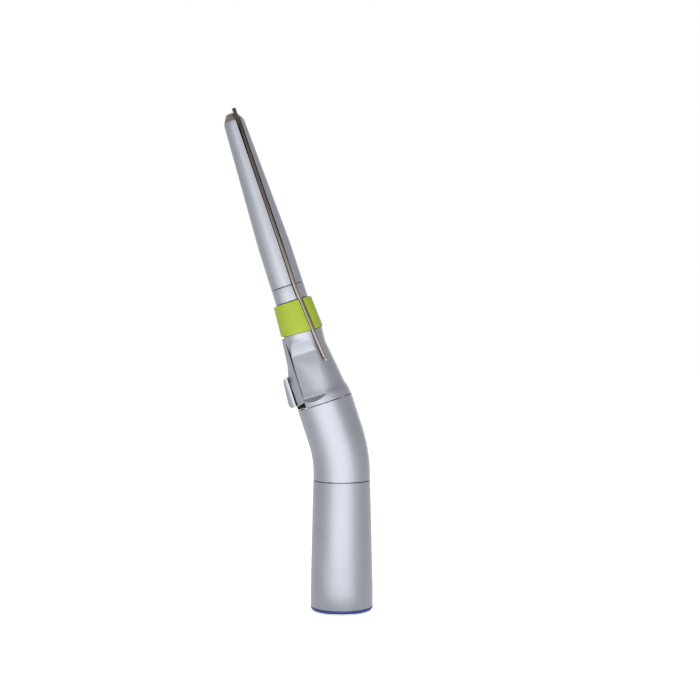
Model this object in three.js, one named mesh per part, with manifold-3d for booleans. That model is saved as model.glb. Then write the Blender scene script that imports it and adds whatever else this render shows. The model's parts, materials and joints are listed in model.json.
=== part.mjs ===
// Angled surgical handpiece with a lever chuck, in millimetres.
// The origin is the centre of the rear coupling face, +Z runs up the rear sleeve, and the nose leans
// towards -X.

import * as THREE from "three";
import { mergeVertices } from "three/addons/utils/BufferGeometryUtils.js";
import Module from "manifold-3d";

// Facets round the axis
const shellFacets = 32;
const liningFacets = 24;
const innerFacets = 16;
const bearingFacets = 14;
const smallFacets = 12;
const bevelSteps = 1;
const curveSteps = 5;
const roundSteps = 3;

// Clearances
const seamGap = 0.2;
const fitGap = 0.1;
const runningGap = 0.2;
const cutOverrun = 2;

// Rear sleeve and its rim
const rearLength = 41.9;
const rearRadius = 10;
const rearStraight = 7;
const rearFrontRadius = 9.2;
const rearBoreRadius = 8.6;
const lipHeight = 0.6;
const lipRadius = 9.9;
const lipBevel = 0.25;
const lipSpigotRadius = 9.2;
const lipSpigotHeight = 3;
const ratioRingHeight = 0.6;
const ratioRingRadius = 10.02;

// Motor socket
const socketRadius = 7.9;
const socketDepth = 24.3;
const seatThickness = 1.3;
const seatHoleRadius = 3.8;
const detentHeight = 7.5;
const detentWidth = 1.6;
const detentDepth = 0.35;
const sealHeight = 17;
const sealWire = 0.4;
const sealStandOut = 0.12;

// Bend
const bendAngleDegrees = 18;
const bendRadius = 39;
const bendTubeRadius = 9.15;
const bendBoreRadius = 7.8;
const bendLowStraight = 2.2;
const bendHighStraight = 11.4;
const bendSteps = 4;

// Drive shaft
const bearingBore = 2;
const bearingOuter = 4.5;
const bearingWidth = 3;
const bearingBalls = 7;
const driveShaftRadius = 1.5;
const driveRearBearingInset = 1.2;
const driveFrontBearingInset = 3.3;
const carrierNutThickness = 1;
const dogReach = 3.9;
const dogLength = 5.8;
const dogRadius = 2.4;
const dogSlotWidth = 1.6;
const dogSlotDepth = 2.6;

// Bevel gears, whose pitch cones share the point where the two axes cross
const gearTeeth = 12;
const gearConeLength = 6.4;
const gearFaceWidth = 2.4;
const gearBodyThickness = 2.2;
const gearHubRadius = 3;
const gearHubLength = 1.6;
const gearBacklash = 0.2;
const gearTipClearance = 0.25;
const gearBoreRadius = 1.6;
const pressureAngleDegrees = 20;

// Spindle, with distances along the nose measured from the neck
const spindleRadius = 2.6;
const spindleBoreRadius = 1.9;
const spindleTubeStart = 2;
const spindleBoreStart = 4;
const spindleReach = 3.3;
const spindleMouthRadius = 1.5;
const spindleMouthLength = 1.4;
const spindleCarrierRadius = 7.7;
const spindleGearGap = 0.3;
const spindleRearBearingInset = 0.6;
const spindleSpigotRadius = 5.3;
const spindleSpigotLength = 5;
const spindleFrontBearingInset = 6.5;
const frontBearingOuter = 4;
const frontBearingWidth = 2.5;

// Collet and its release
const colletRadius = 1.75;
const colletBoreRadius = 1.2;
const colletTail = 1.1;
const colletFloorThickness = 1.7;
const colletRecess = 0.5;
const colletSlits = 3;
const colletSlitWidth = 0.35;
const colletSlitLength = 9;
const crossPinRadius = 0.5;
const crossPinReach = 3.9;
const thrustRingRadius = 4.35;
const thrustRingThickness = 1.6;
const thrustTravel = 1.5;
const springWire = 0.25;
const springRadius = 1.45;
const springTurns = 7;

// Lever housing
const housingLength = 24;
const housingRearRadius = 9.1;
const housingShoulder = 2.3;
const housingShoulderRadius = 8.85;
const housingFoot = 4.6;
const housingFootRadius = 8.15;
const housingMiddleShare = 0.375;
const housingMiddleRadius = 7.57;
const housingUpperShare = 0.667;
const housingUpperRadius = 6.6;
const housingWaistShare = 0.783;
const housingWaistRadius = 6.3;
const housingFrontRadius = 6.7;
const chamberRadius = 4.6;
const chamberPastPivot = 0.9;
const housingThroatRadius = 3.4;
const housingSpigotRadius = 5.35;
const leverFlat = 6.25;
const leverGap = 0.35;

// Thumb flats
const thumbTurnDegrees = 18;
const thumbWidth = 8.1;
const thumbTopSetback = 2.2;
const thumbScoopLength = 4.8;
const thumbScoopShoulder = 0.6;
const thumbDeepestDistance = 5.1;
const thumbLow = 2.6;
const thumbLowDistance = 7.85;
const thumbBottom = 0.7;

// Lever
const pivotOut = 5.5;
const pivotSetback = 2;
const pivotBarrelRadius = 1.35;
const pivotBarrelWidth = 5.2;
const leverPinRadius = 0.45;
const leverPinLength = 6.6;
const leverWidth = 12.6;
const leverEnd = 1.2;
const leverEndRise = 0.8;
const leverEndRadius = 9.1;
const leverBreak = 11;
const leverBreakRadius = 8.7;
const leverTopSetback = 0.6;
const leverTopBevel = 0.45;
const leverTopRadius = 7.1;
const leverTopSweep = 0.55;
const fingerReach = 1.9;
const fingerThickness = 0.8;
const fingerGap = 0.4;
const fingerWidth = 1.4;
const padWidth = 7.4;
const padEndOut = 9.9;
const padEndAlong = 2.9;
const padEndRadius = 1.5;
const padTopOut = 9.2;
const padTopAlong = 9.9;
const padTopRadius = 1.45;
const padBevel = 0.5;
const padInner = 9.1;
const padWebDepth = 1.2;
const padWebLow = 2.2;
const padWebTop = 10.8;
const padWebWidth = 3.4;

// Clip ring
const clipLength = 9.9;
const clipRearRadius = 6.95;
const clipFrontRadius = 6.3;
const clipBoreRadius = 5.5;
const clipEdge = 0.3;

// Collar, nose sleeve and cap
const collarLength = 5;
const collarSpigotRadius = 4;
const collarSpigotLength = 2.4;
const collarBoreRadius = 3.1;
const noseLength = 56.2;
const noseRearRadius = 5.35;
const noseStraight = 14;
const noseStraightRadius = 5.24;
const noseFrontRadius = 3.45;
const noseRounding = 1.9;
const noseMouthRadius = 3.06;
const noseBoreRadius = 3;
const noseBoreLength = 9;
const noseMidBoreRadius = 2.3;
const noseMidBoreLength = 22;
const noseTipBoreRadius = 1.7;
const capLength = 2.2;
const capFaceRadius = 1.85;
const capSpigotLength = 2.6;
const shankRadius = 1.25;
const rearBushLength = 6;
const frontBushLength = 7;

// Irrigation tube and its groove: distance along the nose, distance from the axis and turn from the front, in
// degrees, at the cut end, under the clip, at the collar and at the tip
const tubeRadius = 0.65;
const tubeBoreRadius = 0.4;
const tubeEndSetback = 10.6;
const tubeEndOut = 7.4;
const tubeEndTurnDegrees = 38;
const tubeClipOut = 6.3;
const tubeClipTurnDegrees = 31;
const tubeSeamOut = 5.36;
const tubeTurnDegrees = 26;
const tubeTipPastCap = 1.1;
const tubeTipOut = 2.8;
const tubeTipTurnDegrees = 29;
const grooveSide = 0.3;
const tubeSides = 10;
const tubeBoreSides = 6;

// Where the housing's features and the nose's pieces begin, measured from the neck
const housingMiddle = housingLength * housingMiddleShare;
const housingUpper = housingLength * housingUpperShare;
const housingWaist = housingLength * housingWaistShare;
const thumbTop = housingLength - thumbTopSetback;
const thumbDeepest = thumbTop - thumbScoopLength;
const pivotAlong = housingLength - pivotSetback;
const tubeEndAlong = housingLength - tubeEndSetback;
const clipStart = housingLength + seamGap;
const housingSpigotEnd = housingLength + clipLength;
const collarStart = housingSpigotEnd + seamGap;
const noseStart = housingSpigotEnd + collarLength;
const noseEnd = noseStart + noseLength;
const capStart = noseEnd + seamGap;
const capEnd = noseEnd + capLength;

// Where the two axes cross, and how far the neck lies beyond that
const bendAngle = THREE.MathUtils.degToRad(bendAngleDegrees);
const bendTangent = bendRadius * Math.tan(bendAngle / 2);
const crossing = rearLength + bendLowStraight + bendTangent;
const neckFromCrossing = bendTangent + bendHighStraight;

// The bevel gears' cones, and how far each gear reaches from the crossing
const pitchCone = (Math.PI - bendAngle) / 2;
const gearModule = (2 * gearConeLength * Math.sin(pitchCone)) / gearTeeth;
const toothDepth = gearModule + gearTipClearance;
const gearInnerShare = (gearConeLength - gearFaceWidth) / gearConeLength;
const gearHollow = gearInnerShare * (gearConeLength * Math.cos(pitchCone) + toothDepth);
const gearRimHeight = gearConeLength * Math.cos(pitchCone) + toothDepth * Math.sin(pitchCone);
const gearBack = gearRimHeight + gearBodyThickness;
const gearHubEnd = gearBack + gearHubLength;

// Where the inner pieces lie, up the rear sleeve and along the nose
const driveCarrierStart = socketDepth + seatThickness + fitGap + carrierNutThickness + fitGap;
const driveRearBearingHeight = driveCarrierStart + driveRearBearingInset;
const driveFrontBearingHeight = rearLength - driveFrontBearingInset;
const driveCarrierHead = rearLength + bendLowStraight - fitGap;
const dogHeight = socketDepth - dogReach;
const spindleCarrierStart = gearHubEnd + spindleGearGap - neckFromCrossing;
const spindleRearBearingStart = spindleCarrierStart + spindleRearBearingInset;
const spindleFrontBearingStart = housingSpigotEnd - spindleFrontBearingInset;
const spindleEnd = housingSpigotEnd + spindleReach;
const thrustRingFront = pivotAlong - fingerThickness / 2 - fingerGap;
const crossPinAlong = thrustRingFront - thrustRingThickness - runningGap - crossPinRadius;
const colletRear = crossPinAlong - colletTail;
const colletFloor = crossPinAlong + colletFloorThickness;
const colletFront = spindleEnd - spindleMouthLength - colletRecess;
const chamberEnd = pivotAlong + chamberPastPivot;

const wasm = await Module();
wasm.setup();

// Turns a closed three.js geometry into a solid, with its faces pointing out
function toSolid(geometry) {
  const bare = geometry.clone();
  bare.deleteAttribute("normal");
  bare.deleteAttribute("uv");
  const merged = mergeVertices(bare);
  const places = merged.attributes.position;
  const index = merged.index.array;
  const corners = [];
  const a = new THREE.Vector3();
  const b = new THREE.Vector3();
  const c = new THREE.Vector3();
  let volume = 0;
  for (let i = 0; i < index.length; i += 3) {
    const [p, q, r] = [index[i], index[i + 1], index[i + 2]];
    if (p === q || q === r || r === p) continue;
    corners.push(p, q, r);
    a.fromBufferAttribute(places, p);
    b.fromBufferAttribute(places, q);
    c.fromBufferAttribute(places, r);
    volume += a.dot(b.cross(c));
  }
  if (volume < 0) corners.reverse();
  const vertProperties = new Float32Array(places.array);
  const triVerts = new Uint32Array(corners);
  return new wasm.Manifold(new wasm.Mesh({ numProp: 3, vertProperties, triVerts }));
}

function toGeometry(solid) {
  const mesh = solid.getMesh();
  const geometry = new THREE.BufferGeometry();
  geometry.setAttribute("position", new THREE.BufferAttribute(new Float32Array(mesh.vertProperties), 3));
  geometry.setIndex(new THREE.BufferAttribute(new Uint32Array(mesh.triVerts), 1));
  geometry.computeVertexNormals();
  return geometry;
}

// A solid of revolution about Z, from [radius, height] points that go up the outside and down the inside
function revolve(profile, facets) {
  const points = profile.map(([radius, height]) => new THREE.Vector2(radius, height));
  points.push(points[0].clone());
  return toSolid(new THREE.LatheGeometry(points, facets).rotateX(Math.PI / 2));
}

function ring(outer, inner, low, high, facets) {
  return revolve([[inner, low], [outer, low], [outer, high], [inner, high]], facets);
}

// A flat outline in X and Z, as thick as the given width across Y
function slab(shape, width, bevel = 0) {
  const settings = {
    depth: width - 2 * bevel,
    bevelEnabled: bevel > 0,
    bevelThickness: bevel,
    bevelSize: bevel,
    bevelOffset: -bevel,
    bevelSegments: bevelSteps,
    curveSegments: curveSteps,
  };
  const geometry = new THREE.ExtrudeGeometry(shape, settings);
  return toSolid(geometry.translate(0, 0, bevel - width / 2).rotateX(Math.PI / 2));
}

function outline(points) {
  return new THREE.Shape(points.map(([x, z]) => new THREE.Vector2(x, z)));
}

function block(lowX, highX, width, lowZ, highZ) {
  return slab(outline([[lowX, lowZ], [highX, lowZ], [highX, highZ], [lowX, highZ]]), width);
}

// A round bar across Y, at a place in X and Z
function crossBar(radius, width, x, z, facets) {
  const geometry = new THREE.CylinderGeometry(radius, radius, width, facets);
  return toSolid(geometry.translate(x, 0, z));
}

// Joins rings of points, each with as many points as the next, into a closed skin
function loft(rings) {
  const count = rings[0].length;
  const places = rings.flat().flatMap((point) => point.toArray());
  const index = [];
  for (let i = 0; i + 1 < rings.length; i += 1) {
    for (let j = 0; j < count; j += 1) {
      const here = i * count + j;
      const next = i * count + ((j + 1) % count);
      index.push(here, next, here + count, next, next + count, here + count);
    }
  }
  for (const [start, flip] of [[0, true], [(rings.length - 1) * count, false]]) {
    for (let j = 1; j + 1 < count; j += 1) {
      const fan = [start, start + j, start + j + 1];
      index.push(...(flip ? fan.reverse() : fan));
    }
  }
  const geometry = new THREE.BufferGeometry();
  geometry.setAttribute("position", new THREE.Float32BufferAttribute(places, 3));
  geometry.setIndex(index);
  return toSolid(geometry);
}

function cut(solid, ...tools) {
  return tools.reduce((left, tool) => left.subtract(tool), solid);
}

function join(solid, ...others) {
  return others.reduce((whole, other) => whole.add(other), solid);
}

// Finishes
function finish(color, roughness, metalness) {
  return () => new THREE.MeshStandardMaterial({ color, roughness, metalness });
}
const satinMetal = finish(0xb4b8be, 0.45, 0.9);
const polishedSteel = finish(0xd0d0d0, 0.2, 1);
const brass = finish(0xc2a45a, 0.35, 1);
const darkMetal = finish(0x736b6d, 0.4, 0.9);
const bluePaint = finish(0x1c3f94, 0.4, 0);
const greenPlastic = finish(0xadc645, 0.5, 0);
const blackRubber = finish(0x181818, 0.8, 0);

function place(group, name, solid, material) {
  const mesh = new THREE.Mesh(toGeometry(solid), material());
  mesh.name = name;
  group.add(mesh);
}

// Rear sleeve, its rim and the motor socket
function rearSleeve() {
  const rim = lipHeight + ratioRingHeight + seamGap;
  const step = lipSpigotHeight + seamGap;
  return revolve([
    [lipSpigotRadius + fitGap, rim], [rearRadius, rim], [rearRadius, rearStraight],
    [rearFrontRadius, rearLength - seamGap], [rearBoreRadius, rearLength - seamGap],
    [rearBoreRadius, step], [lipSpigotRadius + fitGap, step],
  ], shellFacets);
}

function rearLipRing() {
  return revolve([
    [socketRadius, 0], [lipRadius - lipBevel, 0], [lipRadius, lipBevel], [lipRadius, lipHeight],
    [lipSpigotRadius, lipHeight], [lipSpigotRadius, lipSpigotHeight],
    [rearBoreRadius, lipSpigotHeight], [rearBoreRadius, lipHeight], [socketRadius, lipHeight],
  ], shellFacets);
}

function ratioRing() {
  const low = lipHeight + fitGap;
  return ring(ratioRingRadius, lipSpigotRadius + fitGap, low, low + ratioRingHeight, shellFacets);
}

function socketLiner() {
  const outer = rearBoreRadius - fitGap;
  const low = lipHeight + fitGap;
  const groove = socketRadius + detentDepth;
  const sealGroove = socketRadius + sealWire + sealWire - sealStandOut;
  const top = socketDepth + seatThickness;
  return revolve([
    [socketRadius, low], [outer, low], [outer, top], [seatHoleRadius, top], [seatHoleRadius, socketDepth],
    [socketRadius, socketDepth], [socketRadius, sealHeight + sealWire + fitGap],
    [sealGroove, sealHeight + sealWire + fitGap], [sealGroove, sealHeight - sealWire - fitGap],
    [socketRadius, sealHeight - sealWire - fitGap], [socketRadius, detentHeight + detentWidth],
    [groove, detentHeight + detentWidth - detentDepth], [groove, detentHeight + detentDepth],
    [socketRadius, detentHeight],
  ], liningFacets);
}

function motorSeal() {
  const middle = socketRadius + sealWire - sealStandOut;
  const sides = 6;
  const section = Array.from({ length: sides }, (_, i) => {
    const turn = (2 * Math.PI * i) / sides;
    const out = middle - fitGap / 2 + (sealWire - fitGap) * Math.cos(turn);
    return [out, sealHeight + sealWire * Math.sin(turn)];
  });
  return revolve(section, liningFacets);
}

// A ring of points round the bend's path, a distance along it that may lie past either end
function bendRing(radius, travel) {
  const arc = bendRadius * bendAngle;
  const turn = THREE.MathUtils.clamp(travel - bendLowStraight, 0, arc) / bendRadius;
  const beyond = travel - bendLowStraight - turn * bendRadius;
  const direction = new THREE.Vector3(-Math.sin(turn), 0, Math.cos(turn));
  const across = new THREE.Vector3(direction.z, 0, -direction.x);
  const middle = new THREE.Vector3(bendRadius * (Math.cos(turn) - 1), 0, rearLength + bendLowStraight);
  middle.z += bendRadius * Math.sin(turn);
  middle.addScaledVector(direction, beyond);
  return Array.from({ length: shellFacets }, (_, i) => {
    const angle = (2 * Math.PI * i) / shellFacets;
    const point = middle.clone().addScaledVector(across, radius * Math.cos(angle));
    point.y += radius * Math.sin(angle);
    return point;
  });
}

// A bar along the bend: a short straight, an arc and a longer straight
function bendBar(radius, reach) {
  const arc = bendRadius * bendAngle;
  const stops = Array.from({ length: bendSteps + 1 }, (_, i) => bendLowStraight + (arc * i) / bendSteps);
  const travels = [-reach, ...stops, bendLowStraight + arc + bendHighStraight + reach];
  return loft(travels.map((travel) => bendRing(radius, travel)));
}

function bendSleeve() {
  return cut(bendBar(bendTubeRadius, 0), bendBar(bendBoreRadius, cutOverrun));
}

// Ball bearings: two grooved races, and the balls in their cage
const raceShare = 0.3;
const ballShare = 0.24;
const grooveShare = 0.3;
const cageThicknessShare = 0.12;
const cageWidthShare = 1.15;
const grooveSteps = 2;

function bearing(group, name, bore, outer, width, low) {
  const space = outer - bore;
  const pitch = (outer + bore) / 2;
  const middle = low + width / 2;
  const grooveRadius = space * grooveShare;
  const innerLand = bore + space * raceShare;
  const outerLand = outer - space * raceShare;
  const halfGroove = Math.acos((pitch - innerLand) / grooveRadius);
  const groove = Array.from({ length: grooveSteps + 1 }, (_, i) => {
    const turn = halfGroove * ((2 * i) / grooveSteps - 1);
    return [grooveRadius * Math.cos(turn), grooveRadius * Math.sin(turn)];
  });
  const inner = [[bore, low], [innerLand, low]];
  inner.push(...groove.map(([out, up]) => [pitch - out, middle + up]));
  inner.push([innerLand, low + width], [bore, low + width]);
  const shell = [[outer, low], [outer, low + width], [outerLand, low + width]];
  shell.push(...groove.map(([out, up]) => [pitch + out, middle - up]));
  shell.push([outerLand, low]);
  const ballRadius = space * ballShare;
  const halfCage = space * cageThicknessShare;
  const halfHeight = ballRadius * cageWidthShare;
  const [cageLow, cageHigh] = [middle - halfHeight, middle + halfHeight];
  const cage = ring(pitch + halfCage, pitch - halfCage, cageLow, cageHigh, bearingFacets);
  const balls = Array.from({ length: bearingBalls }, (_, i) => {
    const turn = (2 * Math.PI * i) / bearingBalls;
    const ball = new THREE.IcosahedronGeometry(ballRadius);
    return toSolid(ball.translate(pitch * Math.cos(turn), pitch * Math.sin(turn), middle));
  });
  place(group, `${name}_inner_race`, revolve(inner, bearingFacets), polishedSteel);
  place(group, `${name}_outer_race`, revolve(shell, bearingFacets), polishedSteel);
  place(group, `${name}_ball_cage`, join(cage, ...balls), brass);
}

// Drive shaft, its carrier and the dog that meets the motor
function driveCarrier() {
  const seat = bearingOuter + fitGap;
  const throat = bearingOuter - bearingBore + fitGap + fitGap;
  const rearSeatEnd = driveRearBearingHeight + bearingWidth + fitGap;
  const frontSeat = driveFrontBearingHeight - fitGap;
  return revolve([
    [seat, driveCarrierStart], [rearBoreRadius - fitGap, driveCarrierStart],
    [rearBoreRadius - fitGap, rearLength - seamGap], [bendBoreRadius - fitGap, rearLength - seamGap],
    [bendBoreRadius - fitGap, driveCarrierHead], [seat, driveCarrierHead], [seat, frontSeat],
    [throat + fitGap, frontSeat], [throat + fitGap, rearSeatEnd], [seat, rearSeatEnd],
  ], innerFacets);
}

function carrierNut() {
  const high = driveCarrierStart - fitGap;
  const hole = bearingOuter - bearingBore + dogRadius / 2;
  return ring(rearBoreRadius - fitGap, hole, high - carrierNutThickness, high, innerFacets);
}

function driveShaft() {
  const seat = bearingBore - fitGap;
  const shoulder = bearingBore + fitGap + fitGap;
  const low = dogHeight + dogSlotDepth + fitGap;
  const dogTop = dogHeight + dogLength + fitGap;
  const rearShoulder = driveRearBearingHeight + bearingWidth + fitGap;
  const frontShoulder = driveFrontBearingHeight - fitGap;
  const seatEnd = driveFrontBearingHeight + bearingWidth + fitGap;
  return revolve([
    [0, low], [driveShaftRadius, low], [driveShaftRadius, dogTop], [seat, dogTop], [seat, rearShoulder],
    [shoulder, rearShoulder], [shoulder, frontShoulder], [seat, frontShoulder], [seat, seatEnd],
    [driveShaftRadius, seatEnd], [driveShaftRadius, crossing - gearHollow], [0, crossing - gearHollow],
  ], innerFacets);
}

function driveDog() {
  const top = dogHeight + dogLength;
  const blind = dogHeight + dogSlotDepth;
  const body = revolve([
    [0, dogHeight], [dogRadius, dogHeight], [dogRadius, top], [driveShaftRadius + fitGap, top],
    [driveShaftRadius + fitGap, blind], [0, blind],
  ], innerFacets);
  const half = dogSlotWidth / 2;
  const slot = block(-half, half, dogRadius + dogRadius + cutOverrun, dogHeight - cutOverrun, blind);
  return cut(body, slot);
}

// A bevel gear with its pitch cone's point at the origin and its body in +Z
const pressureAngle = THREE.MathUtils.degToRad(pressureAngleDegrees);

function bevelTooth(turn) {
  const along = new THREE.Vector3(Math.sin(pitchCone), 0, Math.cos(pitchCone));
  const up = new THREE.Vector3(Math.cos(pitchCone), 0, -Math.sin(pitchCone));
  const half = (Math.PI * gearModule) / 4 - gearBacklash / 2;
  const section = [[-toothDepth - fitGap, -1], [gearModule, -1], [gearModule, 1], [-toothDepth - fitGap, 1]];
  const outer = section.map(([height, side]) => {
    const point = along.clone().multiplyScalar(gearConeLength).addScaledVector(up, height);
    point.y = side * (half - height * Math.tan(pressureAngle));
    return point.applyAxisAngle(new THREE.Vector3(0, 0, 1), turn);
  });
  const inner = outer.map((point) => point.clone().multiplyScalar(gearInnerShare));
  return loft([inner, outer]);
}

function bevelGear(phaseShare) {
  const rim = gearConeLength * Math.sin(pitchCone) - toothDepth * Math.cos(pitchCone);
  const eye = [rim * gearInnerShare, gearRimHeight * gearInnerShare];
  const blank = revolve([
    [gearBoreRadius, eye[1]], eye, [rim, gearRimHeight], [rim, gearBack], [gearHubRadius, gearBack],
    [gearHubRadius, gearHubEnd], [gearBoreRadius, gearHubEnd],
  ], gearTeeth + gearTeeth);
  const teeth = Array.from({ length: gearTeeth }, (_, i) => {
    return bevelTooth((2 * Math.PI * (i + phaseShare)) / gearTeeth);
  });
  return join(blank, ...teeth);
}

// Spindle and its carrier
function spindleCarrier() {
  const seat = bearingOuter + fitGap;
  const low = spindleCarrierStart;
  const seatEnd = spindleRearBearingStart + bearingWidth + fitGap;
  const throat = spindleRadius + runningGap + runningGap;
  return revolve([
    [seat, low], [spindleCarrierRadius, low], [spindleCarrierRadius, -seamGap],
    [spindleSpigotRadius, -seamGap], [spindleSpigotRadius, spindleSpigotLength],
    [throat, spindleSpigotLength], [throat, seatEnd], [seat, seatEnd],
  ], innerFacets);
}

const frontBearingBore = spindleRadius - fitGap;

function stadium(halfWidth, low, high) {
  const shape = new THREE.Shape();
  shape.absarc(0, high, halfWidth, 0, Math.PI, false);
  shape.absarc(0, low, halfWidth, Math.PI, 2 * Math.PI, false);
  return shape;
}

function chuckSpindle() {
  const seat = bearingBore - fitGap;
  const tail = gearHollow - neckFromCrossing;
  const tailEnd = spindleCarrierStart + fitGap;
  const rearShoulder = spindleRearBearingStart + bearingWidth + fitGap;
  const frontShoulder = spindleFrontBearingStart - fitGap;
  const mouthStart = spindleEnd - spindleMouthLength;
  const body = revolve([
    [0, tail], [driveShaftRadius, tail], [driveShaftRadius, tailEnd], [seat, tailEnd], [seat, rearShoulder],
    [bearingBore + fitGap, rearShoulder], [bearingBore + fitGap, spindleTubeStart],
    [spindleRadius, spindleTubeStart], [spindleRadius, frontShoulder],
    [frontBearingBore - fitGap, frontShoulder],
    [frontBearingBore - fitGap, mouthStart - fitGap], [spindleBoreRadius, mouthStart - fitGap],
    [spindleBoreRadius, spindleBoreStart], [0, spindleBoreStart],
  ], innerFacets);
  const low = crossPinAlong - thrustTravel - fitGap;
  const slotShape = stadium(crossPinRadius + fitGap, low, crossPinAlong + fitGap);
  const slot = slab(slotShape, 2 * spindleRadius + cutOverrun);
  return cut(body, slot);
}

function colletNut() {
  const low = spindleEnd - spindleMouthLength;
  return revolve([
    [spindleBoreRadius, low], [frontBearingBore - fitGap, low], [frontBearingBore - fitGap, spindleEnd],
    [spindleMouthRadius, spindleEnd],
  ], innerFacets);
}

function collet() {
  const nose = colletRadius - spindleMouthRadius;
  const body = revolve([
    [0, colletRear], [colletRadius, colletRear], [colletRadius, colletFront - nose],
    [spindleMouthRadius, colletFront], [colletBoreRadius, colletFront], [colletBoreRadius, colletFloor],
    [0, colletFloor],
  ], innerFacets);
  const slits = Array.from({ length: colletSlits }, (_, i) => {
    const slit = block(0, colletRadius + cutOverrun, colletSlitWidth, colletFront - colletSlitLength,
      colletFront + cutOverrun);
    return slit.rotate([0, 0, (360 * i) / colletSlits]);
  });
  const holeLength = 2 * colletRadius + cutOverrun;
  const hole = crossBar(crossPinRadius + fitGap / 2, holeLength, 0, crossPinAlong, smallFacets);
  return cut(body, hole, ...slits);
}

function crossPin() {
  return crossBar(crossPinRadius, crossPinReach + crossPinReach, 0, crossPinAlong, smallFacets);
}

function thrustRing() {
  const low = thrustRingFront - thrustRingThickness;
  const inner = spindleRadius + runningGap + fitGap;
  const bevel = fitGap + fitGap;
  return revolve([
    [inner, low], [thrustRingRadius - bevel, low], [thrustRingRadius, low + bevel],
    [thrustRingRadius, thrustRingFront], [inner, thrustRingFront],
  ], innerFacets);
}

function colletSpring() {
  const low = spindleBoreStart + fitGap + springWire;
  const rise = colletRear - fitGap - springWire - low;
  const stepsPerTurn = 8;
  const sides = 5;
  const steps = springTurns * stepsPerTurn;
  const rings = Array.from({ length: steps + 1 }, (_, i) => {
    const turn = (2 * Math.PI * i) / stepsPerTurn;
    const out = new THREE.Vector3(Math.cos(turn), Math.sin(turn), 0);
    const middle = out.clone().multiplyScalar(springRadius);
    middle.z = low + (rise * i) / steps;
    return Array.from({ length: sides }, (_, j) => {
      const side = (2 * Math.PI * j) / sides;
      const point = middle.clone().addScaledVector(out, springWire * Math.cos(side));
      point.z += springWire * Math.sin(side);
      return point;
    });
  });
  return loft(rings);
}

// The irrigation tube's path: a bent run from the cut end to the collar, then straight to the tip
function aroundNose(along, out, turnDegrees) {
  const turn = THREE.MathUtils.degToRad(turnDegrees);
  return new THREE.Vector3(out * Math.sin(turn), -out * Math.cos(turn), along);
}

const tubeBendSteps = 6;

function tubeStations(reach) {
  const seam = aroundNose(noseStart, tubeSeamOut, tubeTurnDegrees);
  const tip = aroundNose(capEnd + tubeTipPastCap, tubeTipOut, tubeTipTurnDegrees);
  const cutEnd = aroundNose(tubeEndAlong, tubeEndOut, tubeEndTurnDegrees);
  const underClipAlong = (housingLength + (tubeEndAlong + noseStart) / 2) / 2;
  const underClip = aroundNose(underClipAlong, tubeClipOut, tubeClipTurnDegrees);
  const stations = new THREE.QuadraticBezierCurve3(cutEnd, underClip, seam).getPoints(tubeBendSteps);
  stations.push(tip);
  const start = stations[0].clone().sub(stations[1]).setLength(reach).add(stations[0]);
  const end = tip.clone().sub(seam).setLength(reach).add(tip);
  if (reach > 0) stations.splice(0, 1, start);
  if (reach > 0) stations.splice(-1, 1, end);
  return stations;
}

// Places a section of [outward, sideways] points square to the path at each of its stations
function alongTube(stations, section) {
  return loft(stations.map((station, i) => {
    const before = stations[Math.max(i - 1, 0)];
    const after = stations[Math.min(i + 1, stations.length - 1)];
    const direction = after.clone().sub(before).normalize();
    const out = new THREE.Vector3(station.x, station.y, 0).projectOnPlane(direction).normalize();
    const side = direction.clone().cross(out);
    return section.map(([u, v]) => station.clone().addScaledVector(out, u).addScaledVector(side, v));
  }));
}

function circleSection(radius, sides) {
  return Array.from({ length: sides }, (_, i) => {
    const turn = (2 * Math.PI * (i + 0.5)) / sides;
    return [radius * Math.cos(turn), radius * Math.sin(turn)];
  });
}

function sprayTube() {
  const outer = alongTube(tubeStations(0), circleSection(tubeRadius, tubeSides));
  const bore = alongTube(tubeStations(cutOverrun), circleSection(tubeBoreRadius, tubeBoreSides));
  return cut(outer, bore);
}

function tubeGroove() {
  const half = tubeRadius + grooveSide;
  const steps = 8;
  const floor = Array.from({ length: steps + 1 }, (_, i) => {
    const turn = Math.PI / 2 + (Math.PI * i) / steps;
    return [half * Math.cos(turn), half * Math.sin(turn)];
  });
  const depth = half + half + cutOverrun;
  return alongTube(tubeStations(half), [...floor, [depth, -half], [depth, half]]);
}

// Lever housing: the flared body with its thumb flats, its seat for the lever and its groove for the tube
function housingBody() {
  const low = seamGap;
  const spigotHole = spindleSpigotLength + seamGap;
  const seat = frontBearingOuter + fitGap;
  return revolve([
    [spindleSpigotRadius + fitGap, low], [housingRearRadius, low], [housingShoulderRadius, housingShoulder],
    [housingFootRadius, housingFoot], [housingMiddleRadius, housingMiddle],
    [housingUpperRadius, housingUpper], [housingWaistRadius, housingWaist],
    [housingFrontRadius, housingLength - clipEdge],
    [housingFrontRadius - clipEdge, housingLength], [housingSpigotRadius, housingLength],
    [housingSpigotRadius, housingSpigotEnd], [seat, housingSpigotEnd],
    [seat, spindleFrontBearingStart - fitGap], [housingThroatRadius, spindleFrontBearingStart - fitGap],
    [housingThroatRadius, chamberEnd], [chamberRadius, chamberEnd], [chamberRadius, spigotHole],
    [spindleSpigotRadius + fitGap, spigotHole],
  ], shellFacets);
}

function thumbCutter() {
  const outside = housingRearRadius + cutOverrun;
  const floor = [
    [thumbLowDistance, thumbLow], [thumbDeepestDistance, thumbDeepest],
  ];
  const scoop = new THREE.QuadraticBezierCurve(
    new THREE.Vector2(thumbDeepestDistance, thumbDeepest),
    new THREE.Vector2(thumbDeepestDistance, thumbTop - thumbScoopShoulder),
    new THREE.Vector2(housingFrontRadius, thumbTop),
  );
  const top = scoop.getPoints(5).slice(1).map((point) => [point.x, point.y]);
  const bottom = [[outside, thumbBottom], [housingRearRadius, thumbBottom]];
  const points = [...bottom, ...floor, ...top, [outside, thumbTop]];
  return slab(outline(points), thumbWidth);
}

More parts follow.
